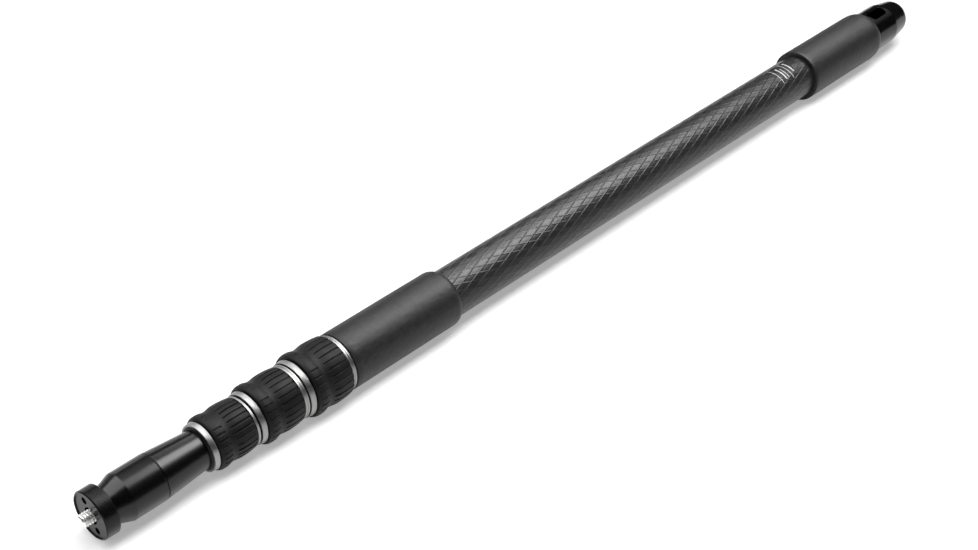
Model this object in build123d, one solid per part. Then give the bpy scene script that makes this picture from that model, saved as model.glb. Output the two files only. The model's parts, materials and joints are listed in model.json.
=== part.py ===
"""Telescopic carbon boom pole: four nested tubes, three twist locks, a threaded tip and a cable cap.

Millimetres. Every piece is drawn along X with U = 0 inside the tip disc, just behind its front rim,
and U growing towards the butt. place() then moves it to the part's frame: the pole lies along X, tip towards -X,
on the plane Z = 0, with the origin under the middle of its length.
"""
from build123d import *
import os

os.makedirs("parts", exist_ok=True)

# ---------------------------------------------------------------- driving dimensions
TUBE_R = {1: 12.7, 2: 11.0, 3: 9.5, 4: 8.0}  # outer radius of each tube, 1 is the main tube
WALL = 1.0                                   # tube wall
RUN = 0.05                                   # radial clearance of a running fit
CLEAR = 0.3                                  # end clearance between pieces that move apart

# tip
STUD_R = 3.175                               # 1/4 inch thread, major radius
STUD_FRONT = -5.7                            # where the stud's free end lies
STUD_IN = 14.0                               # how far it reaches into the adapter
STUD_TIP = 0.6                               # chamfer on the stud's end
DISC_FRONT, DISC_BACK, DISC_R = -0.9, 6.4, 11.9
RECESS_R, RECESS_L = 10.9, 0.5               # shallow recess in the disc's front face
DISC_HOLE_R = 4.2                            # hole the stud passes through
BOSS_R, BOSS_U = 6.5, 2.5                    # adapter boss inside the disc, and where its face lies
SPANNER_PCD, SPANNER_R, SPANNER_L = 14.7, 1.7, 2.4
SPANNER_AT_DEG = 64.0                        # where the spanner holes lie round the disc
GRUB_R, GRUB_L, GRUB_U, GRUB_AT_DEG = 1.25, 4.0, 4.1, 300.0
CONE_R, CONE_U = 8.4, 14.9                   # cone's radius at the disc, and where it ends
ADAPTER_R = 11.55
SEAM_U, SEAM_W, SEAM_DEPTH = 31.6, 0.5, 0.6
SPIGOT_U = 58.0                              # end of the adapter's spigot inside tube 4
FERRULE_END_U, FERRULE_END_R = 56.0, 9.45

# tubes: where each starts and ends
TUBE_SET_BACK = 8.0                          # from a lock's front to the front end of its tube
MAIN_END_U = 588.6
INNER_END_U = {2: 562.0, 3: 558.0, 4: 554.0}
SHIM_L, SHIM_INSET = 40.0, 2.0
PEG_R, PEG_SPACING = 1.5, 22.0

# locks: front of the metal ring; radii of the ring, the sleeve's lip, waist and band, and the flange;
# length against lock 3's; where the flange ends, after the ring's front; how far the wiper stands out;
# how far the sleeve's grooves are turned
LOCKS = {
    3: dict(front=56.5, ring=12.1, lip=13.4, waist=12.75, band=13.35, flange=12.7,
            stretch=1.00, flange_end=25.1, nose=0.7, turn=4.4),
    2: dict(front=82.55, ring=13.3, lip=14.95, waist=14.1, band=14.65, flange=13.95,
            stretch=1.03, flange_end=27.0, nose=0.25, turn=5.7),
    1: dict(front=110.3, ring=14.6, lip=16.3, waist=15.4, band=16.1, flange=14.5,
            stretch=1.08, flange_end=27.9, nose=0.25, turn=9.1),
}
RING_L = 2.65                                # the next lengths are lock 3's, before stretching
SLEEVE_START, SLEEVE_END = 3.1, 23.4
FLANGE_START = 23.8
LIP_AT, LIP_END, WAIST_AT, BAND_AT = 5.4, 6.6, 10.6, 16.0
LIP_DROP, BAND_DROP = 0.9, 0.6               # how much the sleeve falls away at its front and back ends
SHORT_GROOVE = (4.4, 8.9)
LONG_GROOVE = (12.0, 23.4)
GROOVES, GROOVE_W, GROOVE_DEPTH = 28, 0.6, 0.45
PATCH_DEG, PATCH_AT_DEG = 62.0, 87.6         # plain patch on the sleeve's lip, and where its middle is
RING_TAPER = 0.35                            # how much thinner the metal ring is at its front
FLANGE_EDGE = 0.15                           # edge rounding of the flange
FLANGE_LINE = 0.2                            # half width and depth of the line turned in a long flange
BASE_T = 0.85                                # thread base over the tube
NUT_T = 0.55                                 # nut over the thread
WIPER_T = 1.9                                # wiper's thickness outside the inner tube
COLLET_FRONT_T, COLLET_BACK_T = 0.9, 1.7     # collet's thickness at its two ends

# grips and butt
LOWER_GRIP = dict(start=138.6, end=209.5, r=15.0, nose=0.6, tail=4.0)
UPPER_GRIP = dict(start=514.9, end=588.2, r=15.4, nose=0.4, tail=7.0)
GRIP_EDGE = 0.1                              # foam left over the tube where the tail runs out
INSERT_L, INSERT_R = 22.0, 10.2
CAP_R = 13.0
CAP_CONE_U, CAP_CONE_END = 608.0, (619.8, 11.1)
CAP_END_U, CAP_ROUND = 627.8, 8.0
CAP_WALL = 2.2
CAP_CAVITY_END = 614.8
WINDOW = (590.4, 605.6, 7.2)                 # start, end and width of the two cable windows
WINDOW_CORNER_R = 2.4
WINDOW_AT_DEG = 101.0                        # direction the upper window faces, from +Y towards +Z

# the part's frame
HALF = (CAP_END_U + STUD_FRONT) / 2          # middle of the whole length, in U
AXIS_Z = LOCKS[1]["lip"]                     # the fattest piece rests on Z = 0


# ---------------------------------------------------------------- helpers
def turned(points, rounds=()):
    """Solid of revolution about X from (u, r) points; rounds lists (u, r, radius) of corners to fillet."""
    face = make_face(Polyline(*points, close=True))
    for u, r, radius in rounds:
        corner = face.vertices().sort_by_distance((u, r, 0))[0]
        face = fillet(corner, radius)
    return revolve(face, axis=Axis.X)


def ring(u0, u1, r_in, r_out):
    """Plain ring between two U values."""
    return turned([(u0, r_in), (u1, r_in), (u1, r_out), (u0, r_out)])


def rod(along, radius, length):
    """Cylinder that stands on the origin and points along X or Y."""
    turn = Rot(Y=90) if along == "X" else Rot(X=-90)
    return turn * Cylinder(radius, length, align=(Align.CENTER, Align.CENTER, Align.MIN))


def around(angle_deg, shape):
    """Turn a shape about the pole's axis; 0 faces +Y and 90 faces +Z."""
    return Rot(X=angle_deg) * shape


def place(node, shape):
    """Move a piece from the drawing line to the part's frame and write its file."""
    moved = Pos(-HALF, 0, AXIS_Z) * shape
    solids = moved.solids()
    moved = solids[0] if len(solids) == 1 else Compound(children=list(solids))
    moved.label = node
    export_step(moved, os.path.join("parts", node + ".step"))


# ---------------------------------------------------------------- tip
def tip_stud():
    """Set stud: thread outside at its major diameter, relief inside the disc, thread in the adapter."""
    relief_r = STUD_R - 0.6
    return turned(
        [
            (STUD_FRONT, 0),
            (STUD_FRONT, STUD_R - STUD_TIP),
            (STUD_FRONT + STUD_TIP, STUD_R),
            (DISC_FRONT, STUD_R),
            (DISC_FRONT, relief_r),
            (BOSS_U, relief_r),
            (BOSS_U, STUD_R),
            (STUD_IN, STUD_R),
            (STUD_IN, 0),
        ]
    )


def mount_disc():
    """Shouldered disc: recessed face, clear hole for the stud, bore over the adapter's boss."""
    edge = 0.5
    floor = DISC_FRONT + RECESS_L
    disc = turned(
        [
            (floor, DISC_HOLE_R),
            (floor, RECESS_R),
            (DISC_FRONT, RECESS_R),
            (DISC_FRONT, DISC_R - edge),
            (DISC_FRONT + edge, DISC_R),
            (DISC_BACK - edge, DISC_R),
            (DISC_BACK, DISC_R - edge),
            (DISC_BACK, BOSS_R),
            (BOSS_U, BOSS_R),
            (BOSS_U, DISC_HOLE_R),
        ]
    )
    spanner = rod("X", SPANNER_R, RECESS_L + SPANNER_L)
    for angle in (SPANNER_AT_DEG, SPANNER_AT_DEG + 180):
        disc -= around(angle, Pos(DISC_FRONT, SPANNER_PCD / 2, 0) * spanner)
    hole = rod("Y", GRUB_R, DISC_R - BOSS_R)
    return disc - around(GRUB_AT_DEG, Pos(GRUB_U, BOSS_R, 0) * hole)


def disc_grub_screw():
    """Radial screw that bears on the boss, with a hex socket."""
    socket_across, socket_depth = 1.3, 1.6
    screw = rod("Y", GRUB_R, GRUB_L)
    hexagon = extrude(RegularPolygon(socket_across / 2, 6, major_radius=False), socket_depth)
    socket = Pos(0, GRUB_L - socket_depth, 0) * Rot(X=-90) * hexagon
    return around(GRUB_AT_DEG, Pos(GRUB_U, BOSS_R, 0) * (screw - socket))


def tip_adapter():
    """Boss, cone, cylinder and the spigot that is glued into tube 4."""
    bore_r = TUBE_R[4] - WALL
    spigot_bore = bore_r - 1.5
    back = SEAM_U + SEAM_W
    return turned(
        [
            (BOSS_U, STUD_R),
            (BOSS_U, BOSS_R),
            (DISC_BACK, BOSS_R),
            (DISC_BACK, CONE_R),
            (CONE_U, ADAPTER_R),
            (SEAM_U, ADAPTER_R),
            (SEAM_U, ADAPTER_R - SEAM_DEPTH),
            (back, ADAPTER_R - SEAM_DEPTH),
            (back, bore_r),
            (SPIGOT_U, bore_r),
            (SPIGOT_U, spigot_bore),
            (back - 8, spigot_bore),
            (back - 8, 0),
            (STUD_IN, 0),
            (STUD_IN, STUD_R),
        ]
    )


def tip_ferrule():
    """Tapered sleeve over the front end of tube 4."""
    start = SEAM_U + SEAM_W
    edge = 0.2
    return turned(
        [
            (start, TUBE_R[4]),
            (start, ADAPTER_R - edge),
            (start + edge, ADAPTER_R - edge / 2),
            (FERRULE_END_U - edge, FERRULE_END_R + edge / 2),
            (FERRULE_END_U, FERRULE_END_R - edge),
            (FERRULE_END_U, TUBE_R[4]),
        ]
    )


# ---------------------------------------------------------------- tubes
def tube_front(section):
    """U of a tube's front end: inside its own lock, or against the adapter for tube 4."""
    if section == 4:
        return SEAM_U + SEAM_W
    return LOCKS[section]["front"] + TUBE_SET_BACK


def peg_places(section):
    """The two pegs of a shim, along U."""
    middle = INNER_END_U[section] - SHIM_INSET - SHIM_L / 2
    return middle - PEG_SPACING / 2, middle + PEG_SPACING / 2


def pegs(section):
    """Pegs through the tube wall on both sides, flush with its bore and let into the shell."""
    radius = TUBE_R[section]
    peg = rod("Y", PEG_R, 1.5 * WALL)
    found = []
    for u in peg_places(section):
        for angle in (90, 270):
            blank = around(angle, Pos(u, radius - 1.2 * WALL, 0) * peg)
            found.append(blank & ring(u - 2 * PEG_R, u + 2 * PEG_R, radius - WALL, radius + RUN))
    return found


def tube(section):
    """Carbon tube; the inner ones have four holes for the shims' pegs."""
    end = MAIN_END_U if section == 1 else INNER_END_U[section]
    shape = ring(tube_front(section), end, TUBE_R[section] - WALL, TUBE_R[section])
    if section == 1:
        return shape
    radius = TUBE_R[section]
    drill = rod("Y", PEG_R, 3 * WALL)
    for u in peg_places(section):
        for angle in (90, 270):
            shape -= around(angle, Pos(u, radius - 2 * WALL, 0) * drill)
    return shape


def guide_shims(section):
    """Two half shells round the tube's rear end, each with two pegs through its wall."""
    gap = 1.0
    inner, outer = TUBE_R[section], TUBE_R[section - 1] - WALL - RUN
    end = INNER_END_U[section] - SHIM_INSET
    shells = ring(end - SHIM_L, end, inner, outer)
    shells -= Pos(end - SHIM_L / 2, 0, 0) * Box(SHIM_L + 1, 2 * outer + 1, gap)
    joined = []
    for half in shells.solids():
        own_pegs = [peg for peg in pegs(section) if peg.center().Z * half.center().Z > 0]
        joined.append(half + own_pegs)
    return Compound(children=joined)


# ---------------------------------------------------------------- twist locks
def at(lock, length):
    """U of a place in a lock, from a length given for lock 3."""
    return lock["front"] + length * lock["stretch"]


def collar_ring(number):
    """Wide metal ring on the front of the nut, a little thinner towards the front."""
    lock = LOCKS[number]
    inner = nut_outer(number)
    front, back = lock["front"], at(lock, RING_L)
    edge = 0.15
    return turned(
        [
            (front, inner),
            (front, lock["ring"] - RING_TAPER),
            (back - edge, lock["ring"]),
            (back, lock["ring"] - edge),
            (back, inner),
        ],
        rounds=[(front, lock["ring"] - RING_TAPER, edge)],
    )


def nut_outer(number):
    """Outer radius of the nut, under the rubber."""
    return TUBE_R[number] + BASE_T + NUT_T


def s_bend(p, q):
    """Two equal arcs from p to q, along U at both ends."""
    middle = ((p[0] + q[0]) / 2, (p[1] + q[1]) / 2)
    return [TangentArc(p, middle, tangent=(1, 0)), TangentArc(q, middle, tangent=(-1, 0))]


def sleeve_blank(number):
    """Rubber sleeve before its grooves: a rounded lip, a waist and a crowned band."""
    lock = LOCKS[number]
    inner, lip, waist, band = nut_outer(number), lock["lip"], lock["waist"], lock["band"]
    start, end = at(lock, SLEEVE_START), at(lock, SLEEVE_END)
    lip_a, lip_b = (at(lock, LIP_AT), lip), (at(lock, LIP_END), lip)
    narrow, crest = (at(lock, WAIST_AT), waist), (at(lock, BAND_AT), band)
    edges = [
        TangentArc(lip_a, (start, lip - LIP_DROP), tangent=(-1, 0)),
        Line(lip_a, lip_b),
        *s_bend(lip_b, narrow),
        *s_bend(narrow, crest),
        TangentArc(crest, (end, band - BAND_DROP), tangent=(1, 0)),
        Polyline((end, band - BAND_DROP), (end, inner), (start, inner), (start, lip - LIP_DROP)),
    ]
    return revolve(make_face(edges), axis=Axis.X)


def rubber_sleeve(number):
    """Rubber sleeve: long grooves round the band and short ones on the lip, except on two plain patches."""
    lock = LOCKS[number]
    cutters = []
    for index in range(GROOVES):
        angle = 360.0 * index / GROOVES + lock["turn"]
        cutters.append(groove(lock, LONG_GROOVE, lock["band"], angle, open_end=True))
        off_patch = abs((angle - PATCH_AT_DEG + 90) % 180 - 90)
        if off_patch > PATCH_DEG / 2:
            cutters.append(groove(lock, SHORT_GROOVE, lock["lip"], angle, open_end=False))
    return sleeve_blank(number) - cutters


def groove(lock, span, radius, angle, open_end):
    """One straight groove along U, open towards the butt or closed at both ends."""
    start = at(lock, span[0])
    end = at(lock, span[1]) + (1.0 if open_end else 0.0)
    depth = 2 * GROOVE_DEPTH
    block = Box(end - start, depth, GROOVE_W, align=(Align.MIN, Align.CENTER, Align.CENTER))
    return around(angle, Pos(start, radius, 0) * block)


def lock_nut(number):
    """Nut: seat for the wiper, lip, taper over the collet, then the thread over the base."""
    lock = LOCKS[number]
    inner_tube = TUBE_R[number + 1]
    thread_r = TUBE_R[number] + BASE_T + RUN
    outer = nut_outer(number)
    front, back = lock["front"], at(lock, SLEEVE_END)
    seat, lip = front + 1.2, front + 2.0
    taper_end = front + TUBE_SET_BACK
    return turned(
        [
            (front, inner_tube + WIPER_T),
            (front, outer),
            (back, outer),
            (back, thread_r),
            (taper_end, thread_r),
            (taper_end, inner_tube + COLLET_BACK_T + 0.1),
            (lip, inner_tube + COLLET_FRONT_T + 0.1),
            (lip, inner_tube + 0.5),
            (seat, inner_tube + 0.5),
            (seat, inner_tube + WIPER_T),
        ]
    )


def wiper_ring(number):
    """Black wiper in the mouth of the nut; lock 3's has a raised lip round the end of the ferrule."""
    lock = LOCKS[number]
    bore = TUBE_R[number + 1] + RUN
    front, nose = lock["front"], lock["nose"]
    seat, seat_r = front + 1.2, TUBE_R[number + 1] + WIPER_T
    if number == 3:
        face = FERRULE_END_U + 0.1
        outside = [
            (face, FERRULE_END_R + 0.3),
            (front - nose, FERRULE_END_R + 0.35),
            (front - nose + 0.25, FERRULE_END_R + 0.65),
            (front, nut_outer(number)),
        ]
    else:
        face = front - nose
        outside = [(face, nut_outer(number) - 0.1), (front, nut_outer(number))]
    return turned([(face, bore), *outside, (front, seat_r), (seat, seat_r), (seat, bore)])


def collet(number):
    """Split tapered bush between the nut and the inner tube."""
    lock = LOCKS[number]
    bore = TUBE_R[number + 1] + RUN
    start, end = lock["front"] + 2.0 + CLEAR, lock["front"] + TUBE_SET_BACK - 0.2
    slope = (COLLET_BACK_T - COLLET_FRONT_T) / (TUBE_SET_BACK - 2.0)
    thick_start = COLLET_FRONT_T + slope * CLEAR
    thick_end = COLLET_BACK_T - slope * 0.2
    bush = turned(
        [(start, bore), (start, bore - RUN + thick_start), (end, bore - RUN + thick_end), (end, bore)]
    )
    slit = Box(end - start + 1, 2 * bore, 1.6, align=(Align.CENTER, Align.MIN, Align.CENTER))
    bush -= Pos((start + end) / 2, 0, 0) * slit
    relief = Box(end - start - 1.6, 2 * bore, 0.8, align=(Align.MIN, Align.MIN, Align.CENTER))
    for angle in (60, 120, 180, 240, 300):
        bush -= around(angle, Pos(start - 0.5, 0, 0) * relief)
    return bush


def thread_base(number):
    """Sleeve glued on the outer tube: thread under the nut and the flange behind it."""
    lock = LOCKS[number]
    inner = TUBE_R[number]
    thread_r, flange = inner + BASE_T, lock["flange"]
    front = lock["front"] + TUBE_SET_BACK + CLEAR
    start, end = at(lock, FLANGE_START), lock["front"] + lock["flange_end"]
    line = []
    if end - start > 8 * FLANGE_LINE:
        middle = (start + end) / 2
        line = [
            (middle - FLANGE_LINE, flange),
            (middle - FLANGE_LINE, flange - FLANGE_LINE),
            (middle + FLANGE_LINE, flange - FLANGE_LINE),
            (middle + FLANGE_LINE, flange),
        ]
    return turned(
        [
            (front, inner),
            (front, thread_r),
            (start, thread_r),
            (start, flange - FLANGE_EDGE),
            (start + FLANGE_EDGE, flange),
            *line,
            (end - FLANGE_EDGE, flange),
            (end, flange - FLANGE_EDGE),
            (end, inner),
        ]
    )


# ---------------------------------------------------------------- grips and butt
def foam_grip(grip):
    """Foam tube on the main tube: small round in front, long one behind that runs down to the tube."""
    start, end, radius = grip["start"], grip["end"], grip["r"]
    thin = TUBE_R[1] + GRIP_EDGE
    tail = TangentArc((end - grip["tail"], radius), (end, thin), tangent=(1, 0))
    bore = TUBE_R[1]
    rest = Polyline((end, thin), (end, bore), (start, bore), (start, radius), (end - grip["tail"], radius))
    face = make_face([tail, rest])
    front_corner = face.vertices().sort_by_distance((start, radius, 0))[0]
    return revolve(fillet(front_corner, grip["nose"]), axis=Axis.X)


def butt_insert():
    """Threaded insert glued into the butt end of the main tube."""
    return ring(MAIN_END_U - INSERT_L, MAIN_END_U, INSERT_R, TUBE_R[1] - WALL)


def butt_cap():
    """Hollow cap: spigot in the insert, cylinder with two windows, cone and rounded end."""
    bore = INSERT_R - 1.6
    spigot_start = MAIN_END_U - INSERT_L + 4
    cavity = CAP_R - CAP_WALL
    cone_u, cone_r = CAP_CONE_END
    cap = turned(
        [
            (spigot_start, bore),
            (spigot_start, INSERT_R),
            (MAIN_END_U, INSERT_R),
            (MAIN_END_U, CAP_R),
            (CAP_CONE_U, CAP_R),
            (cone_u, cone_r),
            (CAP_END_U, cone_r - 1.2),
            (CAP_END_U, 0),
            (CAP_CAVITY_END, 0),
            (CAP_CAVITY_END, cavity - 3),
            (CAP_CONE_U, cavity),
            (MAIN_END_U + 2, cavity),
            (MAIN_END_U + 2, bore),
        ],
        rounds=[(CAP_END_U, cone_r - 1.2, CAP_ROUND), (CAP_CONE_U, CAP_R, 6.0)],
    )
    start, end, width = WINDOW
    slot = Box(end - start, 4 * CAP_R, width)
    slot = fillet(slot.edges().filter_by(Axis.Y), WINDOW_CORNER_R)
    return cap - around(WINDOW_AT_DEG, Pos((start + end) / 2, 0, 0) * slot)


# ---------------------------------------------------------------- write every piece
place("tip_stud", tip_stud())
place("mount_disc", mount_disc())
place("disc_grub_screw", disc_grub_screw())
place("tip_adapter", tip_adapter())
place("tip_ferrule", tip_ferrule())
place("main_tube", tube(1))
for section in (2, 3, 4):
    place(f"tube_{section}", tube(section))
    place(f"guide_shims_{section}", guide_shims(section))
for number in LOCKS:
    place(f"collar_ring_{number}", collar_ring(number))
    place(f"rubber_sleeve_{number}", rubber_sleeve(number))
    place(f"wiper_ring_{number}", wiper_ring(number))
    place(f"lock_nut_{number}", lock_nut(number))
    place(f"collet_{number}", collet(number))
    place(f"thread_base_{number}", thread_base(number))
place("lower_grip", foam_grip(LOWER_GRIP))
place("upper_grip", foam_grip(UPPER_GRIP))
place("butt_insert", butt_insert())
place("butt_cap", butt_cap())
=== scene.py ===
"""Looks for the telescopic boom pole: materials for the CAD pieces, fine meshes for the rubber
sleeves, foam grips, metal rings and threaded stud, a plain floor, soft light and the camera."""

import json
import math

import bmesh
import bpy
from mathutils import Matrix, Vector, noise


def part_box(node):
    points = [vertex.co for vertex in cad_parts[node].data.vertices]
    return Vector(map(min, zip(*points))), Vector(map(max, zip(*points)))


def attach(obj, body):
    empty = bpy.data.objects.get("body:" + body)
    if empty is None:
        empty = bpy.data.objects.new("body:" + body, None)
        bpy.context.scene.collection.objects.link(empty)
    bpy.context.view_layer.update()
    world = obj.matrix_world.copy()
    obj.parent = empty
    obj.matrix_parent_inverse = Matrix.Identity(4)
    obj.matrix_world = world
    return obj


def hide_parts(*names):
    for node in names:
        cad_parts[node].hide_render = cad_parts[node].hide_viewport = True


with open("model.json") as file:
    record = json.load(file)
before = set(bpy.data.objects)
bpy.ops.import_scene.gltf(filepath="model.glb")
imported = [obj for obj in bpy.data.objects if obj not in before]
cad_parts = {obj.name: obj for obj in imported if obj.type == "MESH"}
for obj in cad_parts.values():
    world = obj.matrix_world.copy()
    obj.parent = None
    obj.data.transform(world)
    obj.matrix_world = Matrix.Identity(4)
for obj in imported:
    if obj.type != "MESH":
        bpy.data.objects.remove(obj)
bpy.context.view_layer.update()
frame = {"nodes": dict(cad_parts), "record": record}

MM = 0.001
DISC_LOW, DISC_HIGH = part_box("mount_disc")
FRONT = DISC_LOW.x                         # u = 0: the disc's front rim
AXIS_Z = (DISC_LOW.z + DISC_HIGH.z) / 2    # height of the pole's axis


# ---------------------------------------------------------------- places round the pole
def on_pole(u, r, angle):
    """Point u mm behind the disc's rim and r mm off the axis; angle in radians, 0 at +Y, growing to +Z."""
    return Vector((FRONT + u * MM, r * MM * math.cos(angle), AXIS_Z + r * MM * math.sin(angle)))


def span(node):
    """Where a CAD node starts and ends along the pole, in mm behind the disc's rim."""
    low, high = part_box(node)
    return (low.x - FRONT) / MM, (high.x - FRONT) / MM


def radii(node):
    """Smallest and largest distance of a CAD node's corners from the axis, in mm."""
    found = [math.hypot(v.co.y, v.co.z - AXIS_Z) / MM for v in frame["nodes"][node].data.vertices]
    return min(found), max(found)


def eased(points, u):
    """Radius at u on a smooth outline that is level at each (u, r) point."""
    if u <= points[0][0]:
        return points[0][1]
    for (u0, r0), (u1, r1) in zip(points, points[1:]):
        if u <= u1:
            t = (u - u0) / (u1 - u0)
            return r0 + (r1 - r0) * t * t * (3 - 2 * t)
    return points[-1][1]


def steps(start, end, count):
    """count + 1 evenly spaced values from start to end."""
    return [start + (end - start) * i / count for i in range(count + 1)]


def front_round(u, r, radius, parts=6):
    """Quarter round in an outline at the sharp front corner (u, r), from the outside to the front face."""
    made = []
    for i in range(parts + 1):
        a = math.pi / 2 * i / parts
        made.append((u + radius * (1 - math.sin(a)), r - radius * (1 - math.cos(a))))
    return made


# ---------------------------------------------------------------- mesh making
def finished(name, made, body, material, sharp_deg=35):
    """Turn a bmesh into a smooth-shaded piece that rides on a body."""
    bmesh.ops.remove_doubles(made, verts=made.verts, dist=1e-7)
    bmesh.ops.recalc_face_normals(made, faces=made.faces)
    limit = math.radians(sharp_deg)
    for edge in made.edges:
        edge.smooth = edge.calc_face_angle(0) < limit
    mesh = bpy.data.meshes.new(name)
    made.to_mesh(mesh)
    made.free()
    for face in mesh.polygons:
        face.use_smooth = True
    piece = bpy.data.objects.new(name, mesh)
    bpy.context.scene.collection.objects.link(piece)
    piece.data.materials.append(material)
    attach(piece, body)
    return piece


def turned(outline, angles, change=None):
    """bmesh of a closed outline of (u, r) points carried round the axis; change(u, r, angle) gives r."""
    made = bmesh.new()
    rings = []
    for angle in angles:
        ring = []
        for u, r in outline:
            radius = change(u, r, angle) if change else r
            ring.append(made.verts.new(on_pole(u, radius, angle)))
        rings.append(ring)
    for ring, after in zip(rings, rings[1:] + rings[:1]):
        for i in range(len(outline)):
            j = (i + 1) % len(outline)
            made.faces.new((ring[i], ring[j], after[j], after[i]))
    return made


def even_angles(count):
    return [math.tau * i / count for i in range(count)]


# ---------------------------------------------------------------- materials
class Shader:
    """A new material with its Principled shader and short ways to add nodes to it."""

    def __init__(self, name, color, roughness, metallic=0.0, **settings):
        self.material = bpy.data.materials.new(name)
        self.material.use_nodes = True
        self.tree = self.material.node_tree
        self.bsdf = self.tree.nodes["Principled BSDF"]
        self.set("Base Color", (*color, 1.0))
        self.set("Roughness", roughness)
        self.set("Metallic", metallic)
        for socket, value in settings.items():
            self.set(socket.replace("_", " "), value)

    def set(self, socket, value):
        self.bsdf.inputs[socket].default_value = value

    def node(self, kind, **settings):
        made = self.tree.nodes.new("ShaderNode" + kind)
        for key, value in settings.items():
            setattr(made, key, value)
        return made

    def feed(self, socket, value):
        """Link an output to a socket, or write a plain number into it."""
        if isinstance(value, bpy.types.NodeSocket):
            self.tree.links.new(value, socket)
        else:
            socket.default_value = value

    def math(self, operation, a, b=0.0, c=0.0):
        made = self.node("Math", operation=operation)
        for socket, value in zip(made.inputs, (a, b, c)):
            self.feed(socket, value)
        return made.outputs[0]

    def place(self):
        """Place on the object as x, y, z outputs in metres, in the shared frame."""
        coordinates = self.node("TexCoord").outputs["Object"]
        split = self.node("SeparateXYZ")
        self.feed(split.inputs[0], coordinates)
        return coordinates, split.outputs["X"], split.outputs["Y"], split.outputs["Z"]

    def angle(self):
        """Turns round the pole's axis, from -0.5 to 0.5, and the distance along it in metres."""
        _, x, y, z = self.place()
        height = self.math("SUBTRACT", z, AXIS_Z)
        return self.math("DIVIDE", self.math("ARCTAN2", height, y), math.tau), x

    def noise(self, vector, scale, detail=2.0, roughness=0.5):
        made = self.node("TexNoise")
        self.feed(made.inputs["Vector"], vector)
        for socket, value in (("Scale", scale), ("Detail", detail), ("Roughness", roughness)):
            made.inputs[socket].default_value = value
        return made.outputs["Fac"]

    def stretched(self, vector, x, y, z):
        """The place scaled by x, y and z."""
        made = self.node("VectorMath", operation="MULTIPLY")
        self.feed(made.inputs[0], vector)
        made.inputs[1].default_value = (x, y, z)
        return made.outputs[0]

    def ramp(self, value, *stops):
        """Colour ramp through (position, grey or colour) stops."""
        made = self.node("ValToRGB")
        self.feed(made.inputs["Fac"], value)
        points = made.color_ramp.elements
        while len(points) < len(stops):
            points.new(0.5)
        for point, (position, color) in zip(points, stops):
            point.position = position
            point.color = (*color, 1.0) if isinstance(color, tuple) else (color, color, color, 1.0)
        return made.outputs["Color"]

    def bump(self, height, distance, strength=1.0, over=None):
        """Bump of a height field, on top of another one if given; distance in metres."""
        made = self.node("Bump")
        self.feed(made.inputs["Height"], height)
        made.inputs["Distance"].default_value = distance
        made.inputs["Strength"].default_value = strength
        if over is not None:
            self.feed(made.inputs["Normal"], over)
        return made.outputs["Normal"]

    def round_edges(self, radius):
        """Normal that runs smoothly over sharp edges, as if they were broken by a small radius in metres."""
        made = self.node("Bevel", samples=6)
        made.inputs["Radius"].default_value = radius
        return made.outputs["Normal"]

    def link(self, socket, output):
        self.tree.links.new(output, self.bsdf.inputs[socket])


def lathe_marks(shader, scale=2600.0):
    """Fine turning lines: noise that changes along the pole and hardly round it."""
    place = shader.place()[0]
    return shader.noise(shader.stretched(place, 1.0, 0.02, 0.02), scale, 3.0, 0.6)


def anodised(name, base, rough, spread, gloss):
    """Black anodised aluminium: dark dye, turning lines, slightly uneven gloss."""
    shader = Shader(name, base, rough, Specular_IOR_Level=gloss)
    lines = lathe_marks(shader)
    cloud = shader.noise(shader.place()[0], 180.0, 3.0)
    uneven = shader.math("ADD", shader.math("MULTIPLY", lines, 0.5), shader.math("MULTIPLY", cloud, 0.5))
    shader.link("Roughness", shader.math("MULTIPLY_ADD", uneven, spread, rough - spread / 2))
    shader.link("Normal", shader.bump(lines, 4e-6, 0.6, shader.round_edges(0.00025)))
    return shader.material


def turned_metal(name, base, rough):
    """Bare turned aluminium: bright, with lathe lines and a satin sheen that runs round the pole."""
    shader = Shader(name, base, rough, 1.0, Anisotropic=0.4)
    lines = lathe_marks(shader, 3800.0)
    shader.link("Base Color", shader.ramp(lines, (0.25, tuple(0.78 * c for c in base)), (0.75, base)))
    shader.link("Roughness", shader.math("MULTIPLY_ADD", lines, 0.16, rough - 0.08))
    shader.link("Normal", shader.bump(lines, 8e-6, 0.8, shader.round_edges(0.00020)))
    return shader.material


def plated_steel():
    """Bright zinc-plated steel of the stud."""
    shader = Shader("plated_steel", (0.86, 0.86, 0.84), 0.36, 1.0)
    cloud = shader.noise(shader.place()[0], 900.0, 4.0)
    shader.link("Roughness", shader.math("MULTIPLY_ADD", cloud, 0.2, 0.28))
    shader.link("Normal", shader.bump(cloud, 8e-6, 0.5))
    return shader.material


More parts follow.
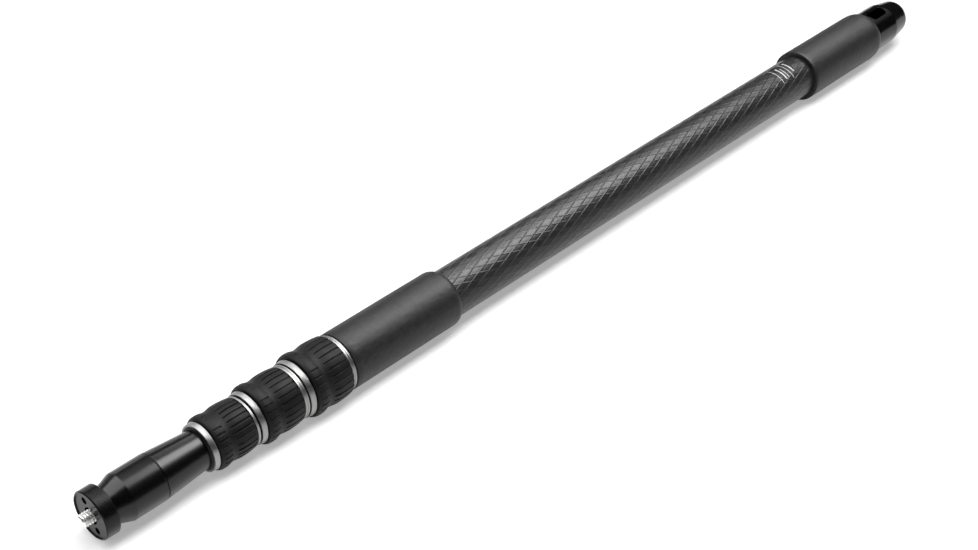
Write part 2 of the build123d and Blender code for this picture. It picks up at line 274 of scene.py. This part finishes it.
def carbon():
    """Wound carbon tape in two crossing helices: the tapes' edges stand up as fine ridges in the resin."""
    shader = Shader("carbon", (0.008, 0.008, 0.008), 0.3, Specular_IOR_Level=0.22)
    turn, along = shader.angle()
    starts, lead = 22, 0.0121              # tapes round the tube, and metres along it per tape
    step = shader.math("DIVIDE", along, lead)
    round_it = shader.math("MULTIPLY", turn, starts)
    rising = shader.math("FRACT", shader.math("SUBTRACT", round_it, step))
    falling = shader.math("FRACT", shader.math("ADD", round_it, step))

    def ridge(tape, height):
        """height at a tape's edge, 0 over most of its width."""
        middle = shader.math("ABSOLUTE", shader.math("MULTIPLY_ADD", tape, 2.0, -1.0))
        return shader.ramp(middle, (0.74, 0.0), (0.82, 0.25 * height), (0.94, 0.85 * height), (1.0, height))

    weave = shader.math("MAXIMUM", ridge(rising, 0.7), ridge(falling, 1.0))
    place = shader.place()[0]
    fibre = shader.noise(shader.stretched(place, 160.0, 700.0, 700.0), 1.0, 3.0, 0.7)
    cloud = shader.noise(place, 300.0, 3.0)
    shader.link("Base Color", shader.ramp(fibre, (0.3, 0.012), (0.7, 0.026)))
    shader.link("Roughness", shader.math("MULTIPLY_ADD", cloud, 0.16, 0.22))
    uneven = shader.bump(cloud, 1.2e-4, 0.6, shader.bump(fibre, 1e-5, 0.4))
    shader.link("Normal", shader.bump(weave, 1.1e-4, 1.0, uneven))
    return shader.material


def rubber():
    """Moulded black rubber: matte, with a fine spark-eroded grain."""
    shader = Shader("rubber", (0.005, 0.005, 0.005), 0.5, Specular_IOR_Level=0.15)
    place = shader.place()[0]
    grain = shader.noise(place, 4200.0, 2.0)
    cloud = shader.noise(place, 240.0, 3.0)
    shader.link("Base Color", shader.ramp(cloud, (0.3, 0.002), (0.7, 0.006)))
    shader.link("Roughness", shader.math("MULTIPLY_ADD", grain, 0.2, 0.42))
    shader.link("Normal", shader.bump(grain, 3e-5, 0.5))
    return shader.material


def foam():
    """Closed-cell foam: charcoal, fine open pores, soft sheen."""
    shader = Shader("foam", (0.011, 0.011, 0.011), 0.5, Specular_IOR_Level=0.3)
    place = shader.place()[0]
    cells = shader.node("TexVoronoi", feature="F1")
    shader.feed(cells.inputs["Vector"], place)
    cells.inputs["Scale"].default_value = 2400.0
    cell = cells.outputs["Distance"]
    grain = shader.noise(place, 1500.0, 4.0, 0.65)
    lumps = shader.noise(place, 330.0, 3.0, 0.6)
    tone = shader.math("ADD", shader.math("MULTIPLY", grain, 0.45), shader.math("MULTIPLY", lumps, 0.55))
    shader.link("Base Color", shader.ramp(tone, (0.35, 0.003), (0.65, 0.013)))
    pores = shader.bump(grain, 9e-5, 0.6, shader.bump(cell, 5e-5, 0.5))
    shader.link("Normal", shader.bump(lumps, 3.5e-4, 0.6, pores))
    return shader.material


def moulded(name, base, rough, gloss=0.5):
    """Moulded plastic with a slightly uneven gloss."""
    shader = Shader(name, base, rough, Specular_IOR_Level=gloss)
    cloud = shader.noise(shader.place()[0], 320.0, 3.0)
    shader.link("Roughness", shader.math("MULTIPLY_ADD", cloud, 0.12, rough - 0.06))
    shader.link("Normal", shader.bump(cloud, 1.5e-5, 0.5, shader.round_edges(0.0003)))
    return shader.material


def print_ink():
    """Pale printed ink, a little worn."""
    shader = Shader("print_ink", (0.55, 0.55, 0.55), 0.5)
    wear = shader.noise(shader.place()[0], 2600.0, 3.0)
    shader.link("Base Color", shader.ramp(wear, (0.30, 0.34), (0.5, 0.62)))
    return shader.material


FLOOR_GLOW = 0.37


def floor_white():
    """Plain pale floor with a faint glow of its own, so that shadows on it stay light."""
    shader = Shader("floor_white", (0.8, 0.8, 0.8), 0.9, Specular_IOR_Level=0.0)
    shader.set("Emission Color", (1.0, 1.0, 1.0, 1.0))
    shader.set("Emission Strength", FLOOR_GLOW)
    return shader.material


MATERIALS = {
    "zinc_steel": plated_steel(),
    "black_steel": anodised("black_steel", (0.010, 0.010, 0.010), 0.35, 0.1, 0.4),
    "satin_black_aluminium": anodised("satin_black_aluminium", (0.0018, 0.0018, 0.0019), 0.28, 0.12, 0.2),
    "gloss_black_aluminium": anodised("gloss_black_aluminium", (0.0012, 0.0012, 0.0012), 0.25, 0.08, 0.31),
    "satin_aluminium": turned_metal("satin_aluminium", (0.30, 0.30, 0.295), 0.42),
    "carbon_fibre": carbon(),
    "foam": foam(),
    "rubber": rubber(),
    "seal_rubber": moulded("seal_rubber", (0.004, 0.004, 0.004), 0.5, 0.2),
    "gloss_black_plastic": moulded("gloss_black_plastic", (0.002, 0.002, 0.002), 0.18, 0.22),
    "shim_plastic": moulded("shim_plastic", (0.62, 0.61, 0.57), 0.5),
    "collet_plastic": moulded("collet_plastic", (0.05, 0.05, 0.05), 0.45),
}


def paint_cad_pieces():
    """Give every CAD node the material of its slot in the record."""
    for row in frame["record"]["subparts"]:
        node = frame["nodes"][row["node"]]
        node.data.materials.clear()
        node.data.materials.append(MATERIALS[row["material_slot"]])


# ---------------------------------------------------------------- threaded stud
THREAD_PITCH, THREAD_DEPTH, THREAD_CHAMFER = 25.4 / 20, 0.72, 0.8
THREAD_SHAPE = [                            # place along one pitch, share of the depth
    (-0.06, 0), (0.06, 0), (0.22, 0.5), (0.37, 1), (0.5, 1.05), (0.63, 1), (0.78, 0.5),
]
THREAD_COLUMNS = 48


def stud():
    """Quarter-inch stud: 20 threads to the inch, on a grid whose rows follow the helix."""
    node = "tip_stud"
    start, end = span(node)
    major = radii(node)[1]

    def ground(u):
        """Largest radius that the chamfers leave at u."""
        return major - THREAD_CHAMFER + min(THREAD_CHAMFER, u - start, end - u)

    turns = range(-1, math.ceil((end - start) / THREAD_PITCH) + 1)
    made = bmesh.new()
    rings = []
    for column in range(THREAD_COLUMNS + 1):
        around = column / THREAD_COLUMNS
        ring = []
        for turn in turns:
            for place, cut in THREAD_SHAPE:
                u = min(max(start + THREAD_PITCH * (turn + place + around), start), end)
                r = min(major - THREAD_DEPTH * cut, ground(u))
                ring.append(made.verts.new(on_pole(u, r, math.tau * column / THREAD_COLUMNS)))
        rings.append(ring)
    for ring, after in zip(rings, rings[1:]):
        for i in range(len(ring) - 1):
            made.faces.new((ring[i], ring[i + 1], after[i + 1], after[i]))
    bmesh.ops.remove_doubles(made, verts=made.verts, dist=1e-7)
    bmesh.ops.dissolve_degenerate(made, edges=made.edges, dist=1e-6)
    middle = FRONT + (start + end) / 2 * MM
    rims = [edge for edge in made.edges if edge.is_boundary]
    for side, place in ((-1, start), (1, end)):
        centre = made.verts.new(on_pole(place, 0, 0))
        for edge in rims:
            if (edge.verts[0].co.x - middle) * side > 0:
                made.faces.new((edge.verts[0], edge.verts[1], centre))
    piece = finished("stud_thread", made, "section_4", MATERIALS["zinc_steel"])
    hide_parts(node)


# ---------------------------------------------------------------- rubber sleeves
SLEEVE_SHAPE = {                            # radii of the waist and the band, and the grooves' turn
    1: dict(waist=15.4, band=16.1, turn=9.1),
    2: dict(waist=14.1, band=14.65, turn=5.7),
    3: dict(waist=12.75, band=13.35, turn=4.4),
}
SLEEVE_L = 20.3                             # lock 3's sleeve; the lengths below grow with the others
LIP_FROM, LIP_TO, WAIST_AT, BAND_AT = 2.3, 3.5, 7.5, 12.9
LIP_DROP, BAND_DROP = 0.9, 0.6
SHORT_GROOVE, LONG_GROOVE = (1.3, 5.8), (8.9, 21.3)
GROOVES, GROOVE_HALF, GROOVE_DEPTH = 28, 0.36, 0.55
PATCH_HALF_DEG, PATCH_AT_DEG = 31.0, 87.6
MARK_SIZE, MARK_DEPTH = 0.75, 0.25          # triangle's inscribed radius, and how deep it is sunk
MARK_BEHIND, MARK_SLOPE = 0.3, 0.12         # how far it is behind the lip's middle; half width of its flank
SLEEVE_EDGE = 0.14                          # broken edge at both ends
COLUMNS_IN_GROOVE = (0.045, 0.07, 0.09, 0.11, 0.14, 0.19, 0.28, 0.39)  # sides of a groove, in its pitch


def smooth(value, low, high):
    """0 below low, 1 above high and an S between."""
    t = min(max((value - low) / (high - low), 0.0), 1.0)
    return t * t * (3 - 2 * t)


def fall(away, reach, drop):
    """How far an arc has dropped at a distance, level at 0 and down by drop at reach."""
    arc = (reach * reach + drop * drop) / (2 * drop)
    return arc - math.sqrt(arc * arc - away * away)


def off_patch(angle):
    """Radians between an angle and the middle of the nearer plain patch."""
    return (angle - math.radians(PATCH_AT_DEG) + math.pi / 2) % math.pi - math.pi / 2


def sleeve(number):
    """Rubber sleeve: rounded lip with short grooves and two plain patches, waist, band with long grooves."""
    node = f"rubber_sleeve_{number}"
    start, end = span(node)
    inner, lip = radii(node)
    shape = SLEEVE_SHAPE[number]
    scale = (end - start) / SLEEVE_L
    pitch = math.tau / GROOVES
    turn = math.radians(shape["turn"])

    def outer(x):
        if x < LIP_FROM:
            return lip - fall(LIP_FROM - x, LIP_FROM, LIP_DROP)
        if x < BAND_AT:
            return eased([(LIP_TO, lip), (WAIST_AT, shape["waist"]), (BAND_AT, shape["band"])], x)
        return shape["band"] - fall(x - BAND_AT, SLEEVE_L - BAND_AT, BAND_DROP)

    def groove(x, across, bounds):
        """Depth of a round-ended groove at a place along the sleeve and across the groove."""
        low, high = bounds[0] + GROOVE_HALF, bounds[1] - GROOVE_HALF
        away = math.hypot(max(low - x, 0.0, x - high), across)
        return GROOVE_DEPTH * (1 - smooth(away, 0.55 * GROOVE_HALF, 1.35 * GROOVE_HALF))

    def mark(x, angle):
        """Depth of the small triangle that points along the sleeve."""
        along = x - (LIP_FROM + LIP_TO) / 2 - MARK_BEHIND
        across = abs(off_patch(angle)) * lip
        away = max(along, 0.866 * across - 0.5 * along) - MARK_SIZE
        return MARK_DEPTH * (1 - smooth(away, -MARK_SLOPE, MARK_SLOPE))

    def pressed(u, r, angle):
        """Radius with the grooves and the mark sunk in."""
        if r < inner + 0.1:
            return r
        x = (u - start) / scale
        index = round((angle - turn) / pitch)
        across = abs(angle - turn - index * pitch) * r
        depth = groove(x, across, LONG_GROOVE)
        if abs(off_patch(turn + index * pitch)) > math.radians(PATCH_HALF_DEG):
            depth = max(depth, groove(x, across, SHORT_GROOVE))
        return r - max(depth, mark(x, angle))

    rows = [0.2 * i for i in range(1, 43)] + steps(8.8, SLEEVE_L - 0.2, 21)
    front_r, back_r = outer(0), outer(SLEEVE_L)
    bevel = 0.3 * SLEEVE_EDGE
    outline = [(start, inner), (start, front_r - SLEEVE_EDGE), (start + bevel, front_r - bevel)]
    outline += [(start + x * scale, outer(x)) for x in rows]
    outline += [(end - bevel, back_r - bevel), (end, back_r - SLEEVE_EDGE), (end, inner)]

    places = [-f for f in COLUMNS_IN_GROOVE] + [0.0] + list(COLUMNS_IN_GROOVE) + [0.5]
    angles = [turn + pitch * (index + f) for index in range(GROOVES) for f in places]
    for side in (0, math.pi):
        middle = math.radians(PATCH_AT_DEG) + side
        angles += [middle + place / lip for place in steps(-1.6, 1.6, 20)]
    angles = sorted(angle % math.tau for angle in angles)
    made = turned(outline, angles, pressed)
    piece = finished(f"sleeve_{number}", made, f"lock_{number}", MATERIALS["rubber"], 50)
    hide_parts(node)


# ---------------------------------------------------------------- foam grips
GRIP_GAP, GRIP_EDGE = 0.02, 0.12            # foam's bore over the tube's, and its thin back edge
GRIP_SWELL, GRIP_WAVES = 0.07, 38.0         # depth of its unevenness, and waves per metre


def grip(node, nose, tail):
    """Foam tube, a little uneven: small round in front, long one behind that runs down to the tube."""
    start, end = span(node)
    bore, outside = radii(node)
    thin = bore + GRIP_EDGE
    outline = [(start, bore + GRIP_GAP)]
    outline += [(start, r) for r in steps(bore + 0.3, outside - nose, 3)[:-1]]
    outline += front_round(start, outside, nose)
    outline += [(u, outside) for u in steps(start + nose, end - tail, round((end - start) / 1.4))[1:-1]]
    for i in range(13):
        a = math.pi / 2 * i / 12
        outline.append((end - tail + tail * math.sin(a), thin + (outside - thin) * math.cos(a)))
    outline.append((end, bore + GRIP_GAP))

    def uneven(u, r, angle):
        if r < thin + 0.05:
            return r
        swell = noise.fractal(on_pole(u, 12, angle) * GRIP_WAVES, 1.0, 2.0, 3)
        return r - GRIP_SWELL * (1 + max(-1.0, min(1.0, swell)))

    made = turned(outline, even_angles(128), uneven)
    piece = finished(f"foam_{node}", made, "main_section", MATERIALS["foam"], 60)
    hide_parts(node)


# ---------------------------------------------------------------- printed label
LABEL_BARS = [                              # start against the upper grip's, width, first and last degree
    (-26.6, 0.45, 68, 133),
    (-22.6, 1.0, 82, 126),
    (-19.9, 0.5, 90, 126),
    (-16.6, 0.45, 68, 133),
    (-13.6, 0.9, 76, 118),
]
INK_UNDER, INK_OVER = 0.002, 0.03           # height of the ink's two faces over the tube


def label():
    """Generic label on the main tube: plain pale bars printed round it."""
    tube_r = radii("main_tube")[1]
    grip_start = span("upper_grip")[0]
    ink = print_ink()
    for index, (before, width, low, high) in enumerate(LABEL_BARS):
        made = bmesh.new()
        rings = []
        u0 = grip_start + before
        u1 = u0 + width
        under, over = tube_r + INK_UNDER, tube_r + INK_OVER
        for angle in steps(math.radians(low), math.radians(high), 24):
            box = [(u0, under), (u1, under), (u1, over), (u0, over)]
            rings.append([made.verts.new(on_pole(u, r, angle)) for u, r in box])
        for ring, after in zip(rings, rings[1:]):
            for i in range(4):
                made.faces.new((ring[i], ring[(i + 1) % 4], after[(i + 1) % 4], after[i]))
        made.faces.new(rings[0])
        made.faces.new(rings[-1])
        finished(f"label_bar_{index + 1}", made, "main_section", ink)


# ---------------------------------------------------------------- stage, light, camera
FLOOR_HALF = 6.0                            # half the floor's side, in metres


def floor():
    """Plain square floor that the pole lies on."""
    mesh = bpy.data.meshes.new("floor")
    corners = [(x * FLOOR_HALF, y * FLOOR_HALF, 0) for x, y in ((-1, -1), (1, -1), (1, 1), (-1, 1))]
    mesh.from_pydata(corners, [], [(0, 1, 2, 3)])
    plane = bpy.data.objects.new("floor", mesh)
    plane.data.materials.append(floor_white())
    bpy.context.scene.collection.objects.link(plane)


SHADING, REFLECTIONS = (True, False), (False, True)
SOFTBOXES = [                               # name, place, what it faces, size in metres, watts, use
    ("top", (-0.25, -0.20, 1.40), (-0.25, 0, 0), (3.4, 0.8), 45.0, SHADING),
    ("key_wide", (0.95, -0.14, 1.25), (0.45, 0, 0), (1.5, 1.05), 3.5, REFLECTIONS),
    ("key_core", (0.78, -0.18, 1.25), (0.45, 0, 0), (0.95, 0.75), 25.0, REFLECTIONS),
    ("key_tube", (0.98, 0.15, 1.25), (0.75, 0, 0), (0.62, 2.2), 24.0, REFLECTIONS),
    ("key_front", (-0.38, 0.55, 1.25), (-0.20, 0.3, 0), (1.1, 1.7), 31.0, REFLECTIONS),
    ("rim", (0.5, 2.2, 0.50), (0, 0, 0), (1.6, 0.5), 4.0, REFLECTIONS),
]


def softbox(name, place, target, size, power, use):
    """Rectangular area light that faces a point, for plain shading or for reflections."""
    data = bpy.data.lights.new(name, "AREA")
    data.shape = "RECTANGLE"
    data.size, data.size_y = size
    data.energy = power
    lamp = bpy.data.objects.new(name, data)
    lamp.location = place
    back = (Vector(place) - Vector(target)).normalized()
    across = Vector((0, 0, 1)).cross(back) if abs(back.z) < 0.5 else Vector((0, 1, 0)).cross(back)
    side = across.normalized()
    lamp.rotation_mode = "QUATERNION"
    lamp.rotation_quaternion = Matrix((side, back.cross(side), back)).transposed().to_quaternion()
    lamp.visible_diffuse, lamp.visible_glossy = use
    bpy.context.scene.collection.objects.link(lamp)


WORLD_STRENGTH = 0.02


def surroundings(strength):
    """Faint even light from all sides."""
    world = bpy.data.worlds.new("studio")
    bpy.context.scene.world = world
    world.use_nodes = True
    background = world.node_tree.nodes["Background"]
    background.inputs["Color"].default_value = (1.0, 1.0, 1.0, 1.0)
    background.inputs["Strength"].default_value = strength


LENS, SENSOR = 59.6, 36.0                   # mm
CAMERA_TURN, CAMERA_TILT = 43.10, 35.95     # degrees from +X towards +Y, and degrees down
CAMERA_FROM_TIP = Vector((-0.24235, -0.45488, 0.47825))


def camera():
    """Camera 0.7 m from the disc, in front of it, above it and to its right."""
    data = bpy.data.cameras.new("camera")
    data.lens, data.sensor_width = LENS, SENSOR
    turn, tilt = math.radians(CAMERA_TURN), math.radians(CAMERA_TILT)
    looking = Vector((math.cos(tilt) * math.cos(turn), math.cos(tilt) * math.sin(turn), -math.sin(tilt)))
    seat = bpy.data.objects.new("camera", data)
    seat.location = Vector((FRONT, 0, AXIS_Z)) + CAMERA_FROM_TIP
    seat.rotation_mode = "QUATERNION"
    seat.rotation_quaternion = looking.to_track_quat("-Z", "Y")
    bpy.context.scene.collection.objects.link(seat)
    bpy.context.scene.camera = seat


camera()
paint_cad_pieces()
stud()
for lock_number in (1, 2, 3):
    sleeve(lock_number)
grip("lower_grip", 0.6, 4.0)
grip("upper_grip", 0.4, 7.0)
label()
floor()
surroundings(WORLD_STRENGTH)
for light in SOFTBOXES:
    softbox(*light)
bpy.context.scene.view_settings.view_transform = "Standard"
